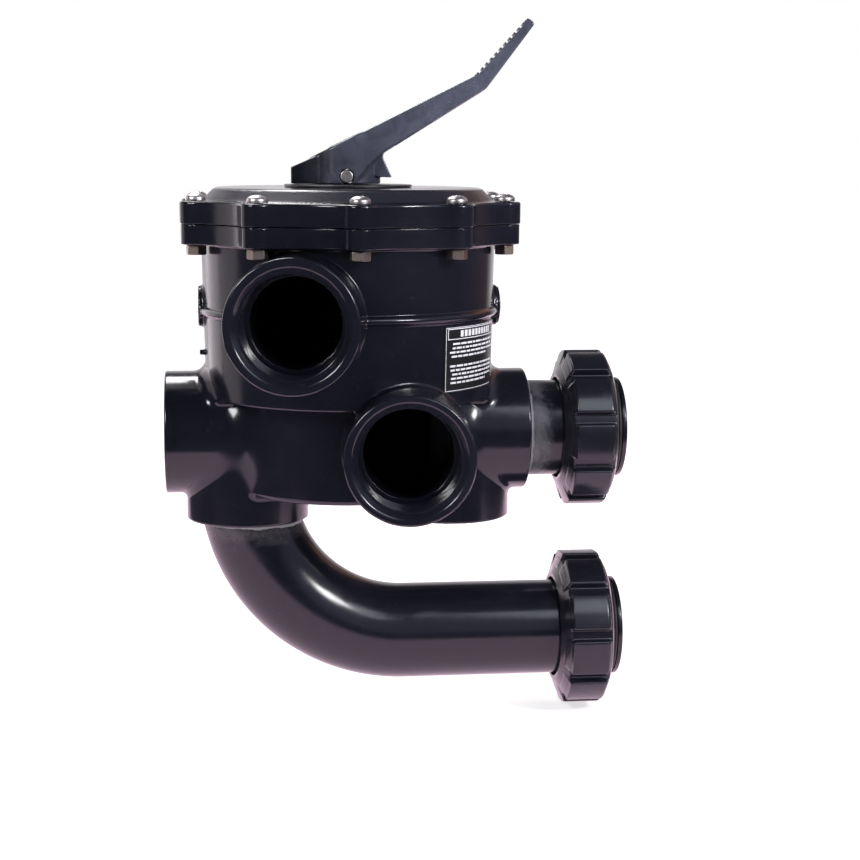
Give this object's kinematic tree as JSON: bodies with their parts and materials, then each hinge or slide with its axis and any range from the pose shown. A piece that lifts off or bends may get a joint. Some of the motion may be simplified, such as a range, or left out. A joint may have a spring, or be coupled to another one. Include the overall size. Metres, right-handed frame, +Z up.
{
  "type": "multiport valve",
  "caption": "Side-mount multiport pool-filter valve: drum body with threaded ports, bolted cover, lifting rotary handle, sweep elbow and union nuts.",
  "frame": {"origin": "midway between the end faces of the two unions, which the filter holds", "axes": "+X out of the unions towards the filter, -Y the side of the two threaded ports, +Z up along the valve stem"},
  "size_m": [0.2867, 0.2353, 0.4338],
  "materials": {
    "body_plastic": "moulded gloss black",
    "cover_plastic": "moulded black, pebbled sloping band",
    "handle_plastic": "satin blue-black",
    "wear_plate_plastic": "smooth black",
    "tail_plastic": "gloss black with cement smears",
    "union_nut_plastic": "gloss black",
    "elbow_plastic": "gloss black",
    "stainless_steel": "bright stainless",
    "plated_nut_steel": "dull plated steel",
    "spring_steel": "bright spring wire",
    "seal_rubber": "black rubber",
    "rotor_plastic": "moulded black",
    "sight_glass_plastic": "dark glossy lens",
    "label_film": "printed black film"
  },
  "bodies": {
    "root": {"valve_body": "body_plastic", "cover": "cover_plastic", "cover_oring": "seal_rubber", "cover_screw_01": "stainless_steel", "cover_screw_02": "stainless_steel", "cover_screw_03": "stainless_steel", "cover_screw_04": "stainless_steel", "cover_screw_05": "stainless_steel", "cover_screw_06": "stainless_steel", "cover_screw_07": "stainless_steel", "cover_screw_08": "stainless_steel", "cover_screw_09": "stainless_steel", "cover_screw_10": "stainless_steel", "cover_nut_01": "plated_nut_steel", "cover_nut_02": "plated_nut_steel", "cover_nut_03": "plated_nut_steel", "cover_nut_04": "plated_nut_steel", "cover_nut_05": "plated_nut_steel", "cover_nut_06": "plated_nut_steel", "cover_nut_07": "plated_nut_steel", "cover_nut_08": "plated_nut_steel", "cover_nut_09": "plated_nut_steel", "cover_nut_10": "plated_nut_steel", "wear_plate": "wear_plate_plastic", "spider_gasket": "seal_rubber", "sight_glass": "sight_glass_plastic", "gauge_plug": "tail_plastic", "upper_union_tail": "tail_plastic", "elbow_pipe": "elbow_plastic", "upper_union_oring": "seal_rubber", "lower_union_oring": "seal_rubber", "label": "label_film"},
    "indexer": {"key_spring": "spring_steel", "spring_washer": "stainless_steel"},
    "rotor": {"rotor_key": "rotor_plastic", "stem_oring_upper": "seal_rubber", "stem_oring_lower": "seal_rubber", "handle_pin": "stainless_steel"},
    "handle": {"handle": "handle_plastic"},
    "upper_nut": {"upper_union_nut": "union_nut_plastic"},
    "lower_nut": {"lower_union_nut": "union_nut_plastic"}
  },
  "joints": [
    {"name": "rotor_turn", "type": "hinge", "parent": "root", "child": "indexer", "pos_m": [-0.1725, 0, 0.2], "axis": [0, 0, 1], "continuous": true},
    {"name": "rotor_lift", "type": "slide", "parent": "indexer", "child": "rotor", "axis": [0, 0, 1], "range_m": [0, 0.0084], "stiffness_N_per_m": 400, "springref_m": -0.01, "deforming": ["key_spring"]},
    {"name": "handle_tilt", "type": "hinge", "parent": "rotor", "child": "handle", "pos_m": [-0.1725, 0, 0.2239], "axis": [0.1149, 0.9934, 0], "range_deg": [0, 24]},
    {"name": "upper_nut_spin", "type": "hinge", "parent": "root", "child": "upper_nut", "pos_m": [-0.024, 0, 0.0655], "axis": [1, 0, 0], "continuous": true},
    {"name": "lower_nut_spin", "type": "hinge", "parent": "root", "child": "lower_nut", "pos_m": [-0.024, 0, -0.0655], "axis": [1, 0, 0], "continuous": true}
  ],
  "couplings": [
    {"joint": "rotor_lift", "follows": "handle_tilt", "m_per_rad": 0.02}
  ]
}
